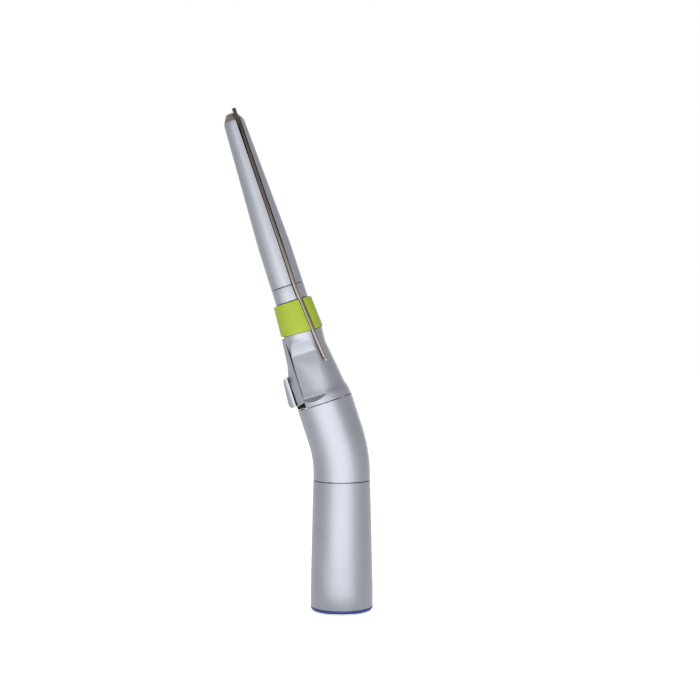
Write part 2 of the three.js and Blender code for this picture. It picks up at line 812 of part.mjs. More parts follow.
function leverHousing() {
  const across = 2 * housingRearRadius;
  const flat = block(-housingRearRadius - cutOverrun, -leverFlat, across, -cutOverrun, housingLength);
  const thumb = thumbCutter();
  const pocketWidth = pivotBarrelWidth + runningGap + runningGap;
  const pocketRadius = pivotBarrelRadius + runningGap + fitGap;
  const pocket = crossBar(pocketRadius, pocketWidth, -pivotOut, pivotAlong, innerFacets);
  const topWidth = pocketWidth + seamGap + seamGap;
  const topPocket = block(-leverTopRadius, leverTopSweep - pivotOut, topWidth, pivotAlong, housingLength);
  const sweep = fingerReach + fingerThickness;
  const fingerSlot = block(-pivotOut, -pivotOut + sweep, fingerWidth + runningGap + runningGap,
    pivotAlong - sweep, pivotAlong + fingerThickness);
  const pinHole = crossBar(leverPinRadius + fitGap / 2, across, -pivotOut, pivotAlong, smallFacets);
  return cut(housingBody(), flat, thumb.rotate([0, 0, 270 - thumbTurnDegrees]),
    thumb.rotate([0, 0, 90 + thumbTurnDegrees]), pocket, topPocket, fingerSlot, pinHole, tubeGroove());
}

// Release lever, a barrel on its pin, a shell over the housing's flat and a raised finger pad
function padShape() {
  const run = new THREE.Vector2(padEndOut - padTopOut, padTopAlong - padEndAlong);
  const heading = run.angle();
  const lean = Math.acos((padEndRadius - padTopRadius) / run.length());
  const shape = new THREE.Shape();
  shape.absarc(-padEndOut, padEndAlong, padEndRadius, heading + lean, heading - lean + 2 * Math.PI, false);
  shape.absarc(-padTopOut, padTopAlong, padTopRadius, heading - lean, heading + lean, false);
  return shape;
}

function releaseLever() {
  const inner = leverFlat + leverGap;
  const outside = leverEndRadius + cutOverrun;
  const top = housingLength - leverTopSetback;
  const shell = revolve([
    [0, 0], [leverEndRadius, 0], [leverBreakRadius, leverBreak], [leverTopRadius, top - leverTopBevel],
    [leverTopRadius - leverTopBevel, top], [0, top],
  ], shellFacets);
  const endSlope = leverEndRise / (leverEndRadius - inner);
  const envelope = slab(outline([
    [-outside, leverEnd - endSlope * cutOverrun], [-inner, leverEnd + leverEndRise],
    [-inner, top + cutOverrun], [-outside, top + cutOverrun],
  ]), leverWidth);
  const barrel = crossBar(pivotBarrelRadius, pivotBarrelWidth, -pivotOut, pivotAlong, innerFacets);
  const fingerEnd = -pivotOut + fingerReach;
  const half = fingerThickness / 2;
  const finger = block(-pivotOut, fingerEnd, fingerWidth, pivotAlong - half, pivotAlong + half);
  const fingerTip = crossBar(half, fingerWidth, fingerEnd, pivotAlong, smallFacets);
  const outerPad = block(-padEndOut - padEndRadius - cutOverrun, -padInner, leverWidth, 0, top);
  const pad = slab(padShape(), padWidth, padBevel).intersect(outerPad);
  const web = block(-padInner - fitGap, padWebDepth - padInner, padWebWidth, padWebLow, padWebTop);
  const pinHole = crossBar(leverPinRadius + fitGap, 2 * leverWidth, -pivotOut, pivotAlong, smallFacets);
  return cut(join(shell.intersect(join(envelope, barrel)), finger, fingerTip, pad, web), pinHole);
}

function leverPin() {
  return crossBar(leverPinRadius, leverPinLength, -pivotOut, pivotAlong, smallFacets);
}

// Clip ring, open where the tube lies in it
function clipRing() {
  const high = clipStart + clipLength - seamGap;
  const body = revolve([
    [clipBoreRadius, clipStart], [clipRearRadius - clipEdge, clipStart],
    [clipRearRadius, clipStart + clipEdge],
    [clipFrontRadius, high - clipEdge], [clipFrontRadius - clipEdge, high], [clipBoreRadius, high],
  ], shellFacets);
  return cut(body, tubeGroove());
}

// Collar, nose sleeve, its guide bushes and its cap
function noseCollar() {
  const body = revolve([
    [collarBoreRadius, collarStart - collarSpigotLength],
    [collarSpigotRadius, collarStart - collarSpigotLength], [collarSpigotRadius, collarStart],
    [housingSpigotRadius, collarStart], [housingSpigotRadius, noseStart],
    [collarSpigotRadius, noseStart], [collarSpigotRadius, noseStart + collarSpigotLength],
    [collarBoreRadius, noseStart + collarSpigotLength],
  ], shellFacets);
  return cut(body, tubeGroove());
}

function noseSleeve() {
  const low = noseStart + seamGap;
  const rounding = Array.from({ length: roundSteps + 1 }, (_, i) => {
    const turn = (Math.PI / 2) * (i / roundSteps);
    const drop = (noseFrontRadius - noseMouthRadius) * (1 - Math.cos(turn));
    return [noseFrontRadius - drop, noseEnd - noseRounding + noseRounding * Math.sin(turn)];
  });
  const hole = collarSpigotRadius + fitGap;
  const holeEnd = low + collarSpigotLength;
  const middle = noseStart + noseBoreLength;
  const tip = middle + noseMidBoreLength;
  const body = revolve([
    [hole, low], [noseRearRadius, low], [noseStraightRadius, noseStart + noseStraight], ...rounding,
    [noseTipBoreRadius, noseEnd], [noseTipBoreRadius, tip], [noseMidBoreRadius, tip],
    [noseMidBoreRadius, middle], [noseBoreRadius, middle],
    [noseBoreRadius, holeEnd], [hole, holeEnd],
  ], shellFacets);
  return cut(body, tubeGroove());
}

function rearBush() {
  const low = noseStart + noseBoreLength + seamGap;
  return ring(noseMidBoreRadius - fitGap, shankRadius, low, low + rearBushLength, innerFacets);
}

function frontBush() {
  const high = capStart - capSpigotLength - seamGap;
  return ring(noseTipBoreRadius - fitGap, shankRadius, high - frontBushLength, high, innerFacets);
}

function noseCap() {
  const spigot = noseTipBoreRadius - fitGap;
  const body = revolve([
    [shankRadius, capStart - capSpigotLength], [spigot, capStart - capSpigotLength], [spigot, capStart],
    [noseMouthRadius - fitGap, capStart], [noseMouthRadius - fitGap, capStart + fitGap],
    [capFaceRadius, capEnd], [shankRadius, capEnd],
  ], innerFacets);
  return cut(body, tubeGroove());
}

const handpiece = new THREE.Group();

place(handpiece, "rear_sleeve", rearSleeve(), satinMetal);
place(handpiece, "rear_lip_ring", rearLipRing(), polishedSteel);
place(handpiece, "ratio_ring", ratioRing(), bluePaint);
place(handpiece, "socket_liner", socketLiner(), polishedSteel);
place(handpiece, "motor_seal", motorSeal(), blackRubber);
place(handpiece, "bend_sleeve", bendSleeve(), satinMetal);
place(handpiece, "drive_carrier", driveCarrier(), polishedSteel);
place(handpiece, "carrier_nut", carrierNut(), polishedSteel);
place(handpiece, "drive_shaft", driveShaft(), polishedSteel);
place(handpiece, "drive_dog", driveDog(), darkMetal);
bearing(handpiece, "drive_rear_bearing", bearingBore, bearingOuter, bearingWidth, driveRearBearingHeight);
bearing(handpiece, "drive_front_bearing", bearingBore, bearingOuter, bearingWidth, driveFrontBearingHeight);

const driveGearSeat = new THREE.Group();
driveGearSeat.position.z = crossing;
driveGearSeat.rotation.x = Math.PI;
place(driveGearSeat, "drive_gear", bevelGear(0), darkMetal);
handpiece.add(driveGearSeat);

const nose = new THREE.Group();
nose.rotation.y = -bendAngle;
nose.position.z = crossing;
nose.translateZ(neckFromCrossing);
handpiece.add(nose);

place(nose, "spindle_carrier", spindleCarrier(), polishedSteel);
place(nose, "chuck_spindle", chuckSpindle(), polishedSteel);
place(nose, "collet_nut", colletNut(), darkMetal);
place(nose, "collet", collet(), darkMetal);
place(nose, "cross_pin", crossPin(), polishedSteel);
place(nose, "collet_spring", colletSpring(), polishedSteel);
place(nose, "thrust_ring", thrustRing(), brass);
place(nose, "lever_housing", leverHousing(), satinMetal);
place(nose, "release_lever", releaseLever(), satinMetal);
place(nose, "lever_pin", leverPin(), polishedSteel);
place(nose, "clip_ring", clipRing(), greenPlastic);
place(nose, "spray_tube", sprayTube(), polishedSteel);
place(nose, "nose_collar", noseCollar(), satinMetal);
place(nose, "nose_sleeve", noseSleeve(), satinMetal);
place(nose, "rear_guide_bush", rearBush(), brass);
place(nose, "front_guide_bush", frontBush(), brass);
place(nose, "nose_cap", noseCap(), darkMetal);
bearing(nose, "spindle_rear_bearing", bearingBore, bearingOuter, bearingWidth, spindleRearBearingStart);
bearing(nose, "spindle_front_bearing", frontBearingBore, frontBearingOuter, frontBearingWidth,
  spindleFrontBearingStart);

const spindleGearSeat = new THREE.Group();
spindleGearSeat.position.z = -neckFromCrossing;
place(spindleGearSeat, "spindle_gear", bevelGear(0.5), darkMetal);
nose.add(spindleGearSeat);

export default handpiece;
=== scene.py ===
# Angled surgical handpiece: smooth outer pieces, finishes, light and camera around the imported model.
import json
import math

import bmesh
import bpy
from mathutils import Color, Matrix, Vector

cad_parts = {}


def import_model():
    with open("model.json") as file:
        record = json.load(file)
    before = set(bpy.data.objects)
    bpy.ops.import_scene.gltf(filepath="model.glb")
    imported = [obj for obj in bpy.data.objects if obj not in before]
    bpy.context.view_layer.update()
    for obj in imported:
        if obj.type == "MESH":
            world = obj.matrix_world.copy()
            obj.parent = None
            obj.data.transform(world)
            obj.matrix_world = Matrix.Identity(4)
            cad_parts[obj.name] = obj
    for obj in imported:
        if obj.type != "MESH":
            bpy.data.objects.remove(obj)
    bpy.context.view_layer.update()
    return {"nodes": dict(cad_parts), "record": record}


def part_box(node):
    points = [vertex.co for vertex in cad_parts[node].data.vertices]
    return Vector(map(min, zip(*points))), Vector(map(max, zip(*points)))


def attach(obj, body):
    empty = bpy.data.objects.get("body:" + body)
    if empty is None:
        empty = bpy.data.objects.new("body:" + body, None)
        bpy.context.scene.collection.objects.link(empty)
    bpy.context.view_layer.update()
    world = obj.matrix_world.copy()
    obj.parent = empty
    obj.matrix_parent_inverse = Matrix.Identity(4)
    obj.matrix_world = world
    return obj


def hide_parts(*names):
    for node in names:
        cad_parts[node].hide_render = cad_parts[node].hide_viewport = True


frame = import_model()

mm = 0.001
full_turn = 2 * math.pi

# Steps round the axis and at corners
shell_steps = 128
inner_steps = 64
corner_steps = 4
bend_steps = 16
curve_steps = 6
arc_steps = 12
tube_sides = 24
sharp_angle = math.radians(32)
corner_share = 0.45
softest_corner = math.radians(12)
weld_distance = 0.002 * mm

# Clearances that the pieces keep
seam_gap = 0.2 * mm
fit_gap = 0.1 * mm
overrun = 2 * mm

# Rear sleeve, its rim and the motor socket
rear_low, rear_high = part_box("rear_sleeve")
rear_radius = rear_high.x
rear_straight = 7 * mm
rear_front_radius = 9.2 * mm
rear_bore = 8.6 * mm
rear_edge = 0.15 * mm
spigot_hole = 9.3 * mm
spigot_step = 3.2 * mm
lip_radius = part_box("rear_lip_ring")[1].x
lip_height = 0.6 * mm
lip_edge = 0.28 * mm
lip_spigot_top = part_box("rear_lip_ring")[1].z
socket_radius = 7.9 * mm
socket_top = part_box("socket_liner")[1].z
seat_thickness = 1.3 * mm
seat_hole = 3.8 * mm
detent_height = 7.5 * mm
detent_width = 1.6 * mm
detent_depth = 0.35 * mm
seal_height = 17 * mm
seal_wire = 0.4 * mm
seal_groove = 8.58 * mm

# Bend
bend_angle = math.radians(18)
bend_radius = 39 * mm
bend_tube_radius = 9.15 * mm
bend_wall = 1.35 * mm
bend_low_straight = 2.2 * mm
bend_high_straight = 11.4 * mm
bend_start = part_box("bend_sleeve")[0].z
bend_tangent = bend_radius * math.tan(bend_angle / 2)
crossing = bend_start + bend_low_straight + bend_tangent

# The nose's own place: its origin at the neck, +Z along it and +X away from the lever
nose_turn = Matrix.Rotation(-bend_angle, 4, "Y")
nose_place = (Matrix.Translation((0, 0, crossing)) @ nose_turn
              @ Matrix.Translation((0, 0, bend_tangent + bend_high_straight)))

# Lever housing, with radii and heights along the nose from the neck, in millimetres in the profile
housing_length = 24 * mm
housing_profile = [(9.1, 0.2), (8.85, 2.3), (8.15, 4.6), (7.57, 9), (6.6, 16), (6.3, 18.8), (6.7, 23.7)]
housing_front_radius = 6.7 * mm
housing_spigot_radius = 5.35 * mm
housing_spigot_end = 33.9 * mm
housing_bore = 4.6 * mm
housing_bore_end = 22.9 * mm
housing_throat = 4.1 * mm
housing_seat = 5.4 * mm
housing_seat_end = 5.2 * mm
housing_edge = 0.2 * mm
lever_flat = 6.05 * mm
thumb_turn = math.radians(18)
thumb_width = 8.8 * mm
thumb_start = (9.1 * mm, 1.3 * mm)
thumb_low = (7.6 * mm, 2.9 * mm)
thumb_deepest = (4.85 * mm, 17 * mm)
thumb_shoulder = (4.85 * mm, 19.4 * mm)
thumb_top = (6.7 * mm, 22.1 * mm)
thumb_outside = 11.1 * mm
cut_edge = 0.14 * mm

# Lever
pivot_out = 5.5 * mm
pivot_along = 22 * mm
pivot_barrel_radius = 1.35 * mm
pivot_barrel_width = 3.8 * mm
barrel_reach = 6.2 * mm
pocket_gap = 0.3 * mm
pocket_side = 0.1 * mm
top_pocket_inner = 4.7 * mm
top_pocket_outer = 7.1 * mm
top_pocket_width = 4 * mm
pin_radius = 0.45 * mm
pin_length = 5.6 * mm
lever_inner = 6.15 * mm
lever_width = 12.6 * mm
lever_end = 1.2 * mm
lever_end_inner = 2 * mm
lever_end_radius = 9.05 * mm
lever_contour = [(9.05, 10.4), (8.45, 12.4), (7.85, 14.7), (7.4, 18.5), (7.2, 21), (6.95, 23.4)]
lever_roundness = 0.2 * mm
lever_top = 23.4 * mm
lever_side_turn = math.radians(33)
lever_side_low = 8.86 * mm
lever_side_high = 4.35 * mm
lever_side_top = 25 * mm
lever_edge = 0.15 * mm
finger_reach = 1.9 * mm
finger_thickness = 0.8 * mm
finger_width = 1.4 * mm
pad_low = (9.9 * mm, 2.9 * mm)
pad_low_radius = 1.5 * mm
pad_high = (9.2 * mm, 9.9 * mm)
pad_high_radius = 1.45 * mm
pad_width = 6.8 * mm
pad_thickness = 2.4 * mm
pad_inner = 9.1 * mm
web_inner = 7.9 * mm
# Wedge under the lever's end: painted shade for the dark cavity there
shade_wedge_clearance = 0.15 * mm
shade_wedge_low = 0.3 * mm
shade_wedge_outside = 8.9 * mm
shade_wedge_width = 5 * mm
web_low = 2.2 * mm
web_top = 10.8 * mm
web_width = 3.4 * mm

# Clip ring, collar, nose sleeve and cap
clip_start = 24.2 * mm
clip_end = 33.9 * mm
clip_rear_radius = 6.95 * mm
clip_front_radius = 6.3 * mm
clip_bore = 5.5 * mm
clip_edge = 0.3 * mm
seat_middle = 23.87 * mm
seat_turn = math.radians(34)
seat_tilt = math.radians(4.75)
seat_reach = 0.7 * mm
seat_bore = 5.45 * mm
seat_radius = 12 * mm
collar_start = 34.1 * mm
nose_start = 38.9 * mm
nose_end = 95.1 * mm
nose_rear_radius = 5.35 * mm
nose_straight_end = 52.9 * mm
nose_straight_radius = 5.24 * mm
nose_front_radius = 3.45 * mm
nose_rounding = 1.9 * mm
nose_mouth_radius = 3.06 * mm
nose_bore = 3 * mm
nose_bore_end = 47.9 * mm
nose_middle_bore = 2.3 * mm
nose_middle_end = 69.9 * mm
nose_tip_bore = 1.7 * mm
collar_bore = 3.1 * mm
collar_spigot_radius = 4 * mm
collar_spigot_length = 2.4 * mm
cap_start = 95.3 * mm
cap_end = 97.3 * mm
cap_rim_radius = 2.96 * mm
cap_face_radius = 1.85 * mm
cap_bore = 1.25 * mm
cap_spigot_radius = 1.6 * mm
cap_spigot_length = 2.6 * mm
small_edge = 0.12 * mm

# Irrigation tube: distance along the nose, distance from the axis, and turn from the front
tube_radius = 0.65 * mm
tube_wall = 0.2 * mm
tube_end = (13.4 * mm, 7.4 * mm, math.radians(38))
tube_under_clip = (25.07 * mm, 6.3 * mm, math.radians(31))
tube_seam = (38.9 * mm, 5.36 * mm, math.radians(26))
tube_tip = (98.4 * mm, 2.8 * mm, math.radians(29))
tube_bend_steps = 24
groove_half_width = 0.85 * mm


def finished(name, bm, place, material, slot, body, *nodes):
    """Makes an object of a bmesh at its place, shaded smooth between its sharp edges, on a body of the frame."""
    bmesh.ops.remove_doubles(bm, verts=bm.verts, dist=weld_distance)
    bmesh.ops.recalc_face_normals(bm, faces=bm.faces)
    bmesh.ops.transform(bm, matrix=place, verts=bm.verts)
    mesh = bpy.data.meshes.new(name)
    bm.to_mesh(mesh)
    bm.free()
    mesh.materials.append(material)
    piece = bpy.data.objects.new(name, mesh)
    bpy.context.scene.collection.objects.link(piece)
    smooth(piece)
    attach(piece, body)
    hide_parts(*nodes)
    return piece


def smooth(piece):
    piece.data.polygons.foreach_set("use_smooth", [True] * len(piece.data.polygons))
    piece.data.set_sharp_from_angle(angle=sharp_angle)
    piece.data.update()


def rounded(points, radius):
    """Rounds each corner of a closed outline of [x, z] points, as far as its sides allow."""
    result = []
    for i, point in enumerate(points):
        here = Vector(point)
        before = Vector(points[i - 1]) - here
        after = Vector(points[(i + 1) % len(points)]) - here
        bend = before.angle(after)
        setback = radius / math.tan(bend / 2) if bend > 0 else 0
        limit = corner_share * min(before.length, after.length)
        if math.pi - bend < softest_corner:
            result.append(here)
            continue
        setback = min(setback, limit)
        start = here + before.normalized() * setback
        end = here + after.normalized() * setback
        for step in range(corner_steps + 1):
            share = step / corner_steps
            result.append((1 - share) ** 2 * start + 2 * share * (1 - share) * here + share ** 2 * end)
    return result


def curved(points):
    """Carries a smooth curve through [x, z] points, with the end stretches leaving straight."""
    places = [Vector(point) for point in points]
    places.insert(0, 2 * places[0] - places[1])
    places.append(2 * places[-1] - places[-2])
    result = [places[1]]
    for before, start, end, after in zip(places, places[1:], places[2:], places[3:]):
        for step in range(1, curve_steps + 1):
            share = step / curve_steps
            leave = (end - before) / 2
            arrive = (after - start) / 2
            square, cube = share ** 2, share ** 3
            result.append((2 * cube - 3 * square + 1) * start + (cube - 2 * square + share) * leave
                          + (3 * square - 2 * cube) * end + (cube - square) * arrive)
    return [tuple(point) for point in result]


def revolved(points, steps, edge=0):
    """A bmesh of a closed outline of [radius, height] points, turned about Z."""
    bm = bmesh.new()
    outline = rounded([(x, z) for x, z in points], edge) if edge else [Vector(point) for point in points]
    ring = [bm.verts.new((point.x, 0, point.y)) for point in outline]
    edges = [bm.edges.new((ring[i - 1], ring[i])) for i in range(len(ring))]
    bmesh.ops.spin(bm, geom=ring + edges, cent=(0, 0, 0), axis=(0, 0, 1), angle=full_turn,
                   steps=steps, use_merge=True, use_duplicate=False)
    bmesh.ops.remove_doubles(bm, verts=bm.verts, dist=weld_distance)
    return bm


def slab(points, width, edge=0):
    """A bmesh of a flat outline in X and Z, as thick as the width across Y, with its edges rounded."""
    bm = bmesh.new()
    face = bm.faces.new([bm.verts.new((x, -width / 2, z)) for x, z in points])
    grown = bmesh.ops.extrude_face_region(bm, geom=[face])
    moved = [item for item in grown["geom"] if isinstance(item, bmesh.types.BMVert)]
    bmesh.ops.translate(bm, vec=(0, width, 0), verts=moved)
    bmesh.ops.recalc_face_normals(bm, faces=bm.faces)
    if edge:
        sides = [item for item in bm.edges if abs(item.verts[0].co.y - item.verts[1].co.y) < weld_distance]
        bmesh.ops.bevel(bm, geom=sides, offset=edge, offset_type="OFFSET", segments=corner_steps, profile=0.5,
                        affect="EDGES", material=-1, clamp_overlap=True)
    return bm


def box(low_x, high_x, width, low_z, high_z):
    return slab([(low_x, low_z), (high_x, low_z), (high_x, high_z), (low_x, high_z)], width)


def cross_bar(radius, width, x, z, steps):
    bm = bmesh.new()
    turn = Matrix.Translation((x, 0, z)) @ Matrix.Rotation(math.pi / 2, 4, "X")
    bmesh.ops.create_cone(bm, cap_ends=True, segments=steps, radius1=radius, radius2=radius, depth=width,
                          matrix=turn)
    return bm


def swept(section, stations, capped=True):
    """A bmesh of a section of [outward, sideways] points carried square along a path of stations."""
    bm = bmesh.new()
    frames = []
    for i, station in enumerate(stations):
        ahead = stations[min(i + 1, len(stations) - 1)] - stations[max(i - 1, 0)]
        ahead.normalize()
        out = Vector((station.x, station.y, 0))
        out = (out - ahead * out.dot(ahead)).normalized()
        side = ahead.cross(out)
        turn = Matrix((out, side, ahead)).transposed().to_4x4()
        frames.append(Matrix.Translation(station) @ turn)
    verts = [bm.verts.new(frames[0] @ Vector((u, v, 0))) for u, v in section]
    edges = [bm.edges.new((verts[i - 1], verts[i])) for i in range(len(verts))]
    rims = [list(edges)]
    for before, after in zip(frames, frames[1:]):
        grown = bmesh.ops.extrude_edge_only(bm, edges=edges)
        moved = [item for item in grown["geom"] if isinstance(item, bmesh.types.BMVert)]
        edges = [item for item in grown["geom"] if isinstance(item, bmesh.types.BMEdge)]
        bmesh.ops.transform(bm, matrix=after @ before.inverted(), verts=moved)
    rims.append(edges)
    if capped:
        for rim in rims:
            bmesh.ops.edgeloop_fill(bm, edges=rim)
    bmesh.ops.recalc_face_normals(bm, faces=bm.faces)
    return bm


def helper(name, bm, place=Matrix.Identity(4)):
    """A closed shape that cuts or joins a piece and is then removed."""
    bmesh.ops.recalc_face_normals(bm, faces=bm.faces)
    bmesh.ops.transform(bm, matrix=place, verts=bm.verts)
    mesh = bpy.data.meshes.new(name)
    bm.to_mesh(mesh)
    bm.free()
    tool = bpy.data.objects.new(name, mesh)
    bpy.context.scene.collection.objects.link(tool)
    return tool


def combine(piece, operation, tools, edge=0):
    """Cuts or joins a piece by closed shapes, in order, and rounds the edges that this leaves."""
    for tool in tools:
        step = piece.modifiers.new(operation.lower(), "BOOLEAN")
        step.operation = operation
        step.solver = "EXACT"
        step.object = tool
    material = piece.data.materials[0] if piece.data.materials else None
    depsgraph = bpy.context.evaluated_depsgraph_get()
    mesh = bpy.data.meshes.new_from_object(piece.evaluated_get(depsgraph))
    piece.modifiers.clear()
    piece.data = mesh
    mesh.materials.clear()
    if material:
        mesh.materials.append(material)
    for polygon in mesh.polygons:
        polygon.material_index = 0
    for tool in tools:
        bpy.data.objects.remove(tool)
    if edge:
        soften(piece, edge)
    smooth(piece)


def soften(piece, width):
    """Rounds the sharp edges of a piece with a live Bevel modifier."""
    bevel = piece.modifiers.new("edge", "BEVEL")
    bevel.width = width
    bevel.segments = 2
    bevel.limit_method = "ANGLE"
    bevel.angle_limit = sharp_angle
    bevel.use_clamp_overlap = True
    bevel.harden_normals = True


# Shader node groups
def new_group(name, inputs, outputs):
    """An empty node group with named sockets, and the nodes that stand for them."""
    group = bpy.data.node_groups.new(name, "ShaderNodeTree")
    for socket, kind, default in inputs:
        made = group.interface.new_socket(socket, in_out="INPUT", socket_type=kind)
        if default is not None:
            made.default_value = default
    for socket, kind in outputs:
        group.interface.new_socket(socket, in_out="OUTPUT", socket_type=kind)
    return group, group.nodes.new("NodeGroupInput"), group.nodes.new("NodeGroupOutput")


def noise(nodes, links, scale_socket, vector, detail=3):
    node = nodes.new("ShaderNodeTexNoise")
    node.inputs["Detail"].default_value = detail
    if isinstance(scale_socket, (int, float)):
        node.inputs["Scale"].default_value = scale_socket
    else:
        links.new(scale_socket, node.inputs["Scale"])
    links.new(vector, node.inputs["Vector"])
    return node.outputs["Fac"]


def ranged(nodes, links, value, low, high):
    """Spreads a 0 to 1 value over the range from low to high."""
    node = nodes.new("ShaderNodeMapRange")
    node.inputs["From Min"].default_value = noise_low
    node.inputs["From Max"].default_value = noise_high
    links.new(value, node.inputs["Value"])
    for socket, bound in (("To Min", low), ("To Max", high)):
        if isinstance(bound, (int, float)):
            node.inputs[socket].default_value = bound
        else:
            links.new(bound, node.inputs[socket])
    return node.outputs["Result"]


noise_low = 0.3
noise_high = 0.7


def blasted_grain():
    """Fine bead-blasted grain with soft cloudy patches: a tint, a roughness and a height over the surface."""
    group, source, sink = new_group("blasted_grain", [
        ("Dark", "NodeSocketColor", (0.5, 0.5, 0.5, 1)), ("Light", "NodeSocketColor", (0.6, 0.6, 0.6, 1)),
        ("Grain Scale", "NodeSocketFloat", 5000), ("Patch Scale", "NodeSocketFloat", 160),
        ("Smoothest", "NodeSocketFloat", 0.35), ("Roughest", "NodeSocketFloat", 0.45),
    ], [("Color", "NodeSocketColor"), ("Roughness", "NodeSocketFloat"), ("Height", "NodeSocketFloat")])
    nodes, links = group.nodes, group.links
    where = nodes.new("ShaderNodeTexCoord").outputs["Object"]
    grain = noise(nodes, links, source.outputs["Grain Scale"], where, detail=2)
    patch = noise(nodes, links, source.outputs["Patch Scale"], where, detail=4)
    both = nodes.new("ShaderNodeMath")
    both.operation = "MULTIPLY_ADD"
    both.inputs[1].default_value = grain_share
    links.new(grain, both.inputs[0])
    links.new(ranged(nodes, links, patch, 0.0, 1 - grain_share), both.inputs[2])
    mix = nodes.new("ShaderNodeMix")
    mix.data_type = "RGBA"
    links.new(both.outputs["Value"], mix.inputs["Factor"])
    links.new(source.outputs["Dark"], mix.inputs["A"])
    links.new(source.outputs["Light"], mix.inputs["B"])
    links.new(mix.outputs["Result"], sink.inputs["Color"])
    rough = ranged(nodes, links, both.outputs["Value"], source.outputs["Smoothest"], source.outputs["Roughest"])
    links.new(rough, sink.inputs["Roughness"])
    links.new(grain, sink.inputs["Height"])
    return group


grain_share = 0.7


def linear(red, green, blue):
    """A colour written as it looks on screen, from 0 to 255, as the shader's linear values."""
    shade = Color((red / 255, green / 255, blue / 255)).from_srgb_to_scene_linear()
    return (*shade, 1)


def finish_material(name, dark, light, metallic, smoothest, roughest, grain_scale, patch_scale, bump, **sockets):
    """A material whose tint, roughness and bump come from the grain group, with constant values on the shader."""
    material = bpy.data.materials.new(name)
    material.use_nodes = True
    nodes, links = material.node_tree.nodes, material.node_tree.links
    shader = nodes["Principled BSDF"]
    shader.inputs["Metallic"].default_value = metallic
    for socket, value in sockets.items():
        shader.inputs[socket.replace("_", " ")].default_value = value
    group = nodes.new("ShaderNodeGroup")
    group.node_tree = grain_group
    group.inputs["Dark"].default_value = linear(*dark)
    group.inputs["Light"].default_value = linear(*light)
    group.inputs["Grain Scale"].default_value = grain_scale
    group.inputs["Patch Scale"].default_value = patch_scale
    group.inputs["Smoothest"].default_value = smoothest
    group.inputs["Roughest"].default_value = roughest
    links.new(group.outputs["Color"], shader.inputs["Base Color"])
    links.new(group.outputs["Roughness"], shader.inputs["Roughness"])
    bumped = nodes.new("ShaderNodeBump")
    bumped.inputs["Strength"].default_value = bump
    bumped.inputs["Distance"].default_value = bump_distance
    links.new(group.outputs["Height"], bumped.inputs["Height"])
    links.new(bumped.outputs["Normal"], shader.inputs["Normal"])
    return material


bump_distance = 0.02 * mm
grain_group = blasted_grain()
satin = finish_material("satin_metal", (133, 136, 143), (147, 150, 157), 1, 0.38, 0.44, 6000, 180, 0.25)
polished = finish_material("polished_steel", (180, 180, 183), (206, 206, 209), 1, 0.14, 0.22, 3000, 300, 0.05)
tube_steel = finish_material("tube_steel", (114, 105, 100), (130, 119, 113), 1, 0.14, 0.19, 3000, 300, 0.05)
# Nose cap steel, darker and rose-tinted: painted shade, the tone of the cap's chamfer in shadow given to the whole cap.
dark_steel = finish_material("dark_steel", (112, 104, 106), (146, 138, 138), 1, 0.3, 0.4, 5000, 300, 0.15)
brass = finish_material("bearing_brass", (176, 146, 84), (206, 176, 108), 1, 0.25, 0.35, 4000, 300, 0.1)
blue = finish_material("blue_ring", (34, 56, 138), (48, 74, 164), 0, 0.35, 0.45, 5000, 300, 0.1)
green = finish_material("green_plastic", (145, 163, 46), (158, 176, 60), 0, 0.5, 0.62, 2500, 220, 0.2,
                        Specular_IOR_Level=0.25)
# Near-black rubber: the seal's own black, made darker still as painted shade, because the wedge under the lever's end
# wears it in place of that cavity's shadow.
rubber_and_painted_shade = finish_material("seal_rubber", (7, 7, 8), (16, 16, 17), 0, 0.6, 0.75, 4000, 300, 0.2,
                         Specular_IOR_Level=0.2)


# Pieces of the rear
def mm_points(points):
    return [(radius * mm, height * mm) for radius, height in points]


def rear_sleeve():
    points = [
        (spigot_hole, rear_low.z), (rear_radius, rear_low.z), (rear_radius, rear_straight),
        (rear_front_radius, rear_high.z), (rear_bore, rear_high.z), (rear_bore, spigot_step),
        (spigot_hole, spigot_step),
    ]
    finished("rear_sleeve_smooth", revolved(points, shell_steps, rear_edge), Matrix.Identity(4), satin,
             "satin_metal", "handle", "rear_sleeve")


def rear_lip_ring():
    spigot = spigot_hole - fit_gap
    points = [
        (socket_radius, 0), (lip_radius, 0), (lip_radius, lip_height), (spigot, lip_height),
        (spigot, lip_spigot_top), (rear_bore, lip_spigot_top), (rear_bore, lip_height), (socket_radius, lip_height),
    ]
    finished("rear_lip_ring_smooth", revolved(points, shell_steps, lip_edge), Matrix.Identity(4), polished,
             "polished_steel", "handle", "rear_lip_ring")


def ratio_ring():
    low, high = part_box("ratio_ring")
    points = [(spigot_hole, low.z), (high.x, low.z), (high.x, high.z), (spigot_hole, high.z)]
    finished("ratio_ring_smooth", revolved(points, shell_steps, small_edge), Matrix.Identity(4), blue,
             "blue_ring", "handle", "ratio_ring")


def socket_liner():
    outer = rear_bore - fit_gap
    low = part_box("socket_liner")[0].z
    seat = socket_top - seat_thickness
    half_seal = seal_wire + fit_gap
    points = [
        (socket_radius, low), (outer, low), (outer, socket_top), (seat_hole, socket_top), (seat_hole, seat),
        (socket_radius, seat), (socket_radius, seal_height + half_seal), (seal_groove, seal_height + half_seal),
        (seal_groove, seal_height - half_seal), (socket_radius, seal_height - half_seal),
        (socket_radius, detent_height + detent_width),
        (socket_radius + detent_depth, detent_height + detent_width - detent_depth),
        (socket_radius + detent_depth, detent_height + detent_depth), (socket_radius, detent_height),
    ]
    finished("socket_liner_smooth", revolved(points, shell_steps, small_edge), Matrix.Identity(4), polished,
             "polished_steel", "handle", "socket_liner")


